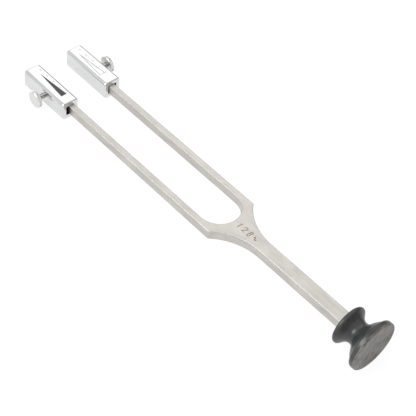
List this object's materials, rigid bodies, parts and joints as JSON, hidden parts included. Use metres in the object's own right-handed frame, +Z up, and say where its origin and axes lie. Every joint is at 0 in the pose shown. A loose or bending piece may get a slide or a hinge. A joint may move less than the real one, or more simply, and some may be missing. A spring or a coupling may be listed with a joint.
{
  "type": "tuning fork",
  "caption": "Flat-bar tuning fork with a dark spool-shaped foot and a sliding block damper on each prong tip, each held by a knurled thumb screw.",
  "frame": {"origin": "Under the middle of the fork, on the surface that the foot's rim rests on when the fork lies flat", "axes": "+Y along the fork from the foot to the prong tips, +Z up out of the flat face, +X across from the left prong to the right one"},
  "size_m": [0.0506, 0.24, 0.0274],
  "materials": {
    "fork_steel": "satin, brushed along the bar",
    "foot_plastic": "satin moulded",
    "damper_chrome": "polished plating",
    "scale_enamel": "black enamel fill",
    "stud_steel": "plated thread",
    "head_chrome": "satin plating, knurled rim"
  },
  "bodies": {
    "fork": {"fork": "fork_steel", "foot": "foot_plastic"},
    "left_damper": {"left_damper": "damper_chrome", "left_scale_enamel": "scale_enamel"},
    "right_damper": {"right_damper": "damper_chrome", "right_scale_enamel": "scale_enamel"},
    "left_screw_stud": {"left_screw_stud": "stud_steel"},
    "right_screw_stud": {"right_screw_stud": "stud_steel"},
    "left_screw_head": {"left_screw_head": "head_chrome"},
    "right_screw_head": {"right_screw_head": "head_chrome"}
  },
  "joints": [
    {"name": "left_damper_slide", "type": "slide", "parent": "fork", "child": "left_damper", "axis": [0, 1, 0], "range_m": [-0.098, 0.036]},
    {"name": "right_damper_slide", "type": "slide", "parent": "fork", "child": "right_damper", "axis": [0, 1, 0], "range_m": [-0.098, 0.036]},
    {"name": "left_screw_travel", "type": "slide", "parent": "left_damper", "child": "left_screw_stud", "axis": [-1, 0, 0], "range_m": [0, 0.002]},
    {"name": "right_screw_travel", "type": "slide", "parent": "right_damper", "child": "right_screw_stud", "axis": [1, 0, 0], "range_m": [0, 0.002]},
    {"name": "left_screw_turn", "type": "hinge", "parent": "left_screw_stud", "child": "left_screw_head", "pos_m": [-0.0242, 0.103, 0.0137], "axis": [-1, 0, 0], "range_deg": [0, 1440]},
    {"name": "right_screw_turn", "type": "hinge", "parent": "right_screw_stud", "child": "right_screw_head", "pos_m": [0.0242, 0.103, 0.0137], "axis": [1, 0, 0], "range_deg": [0, 1440]}
  ],
  "couplings": [
    {"joint": "left_screw_turn", "follows": "left_screw_travel", "rad_per_m": 12566},
    {"joint": "right_screw_turn", "follows": "right_screw_travel", "rad_per_m": 12566}
  ]
}
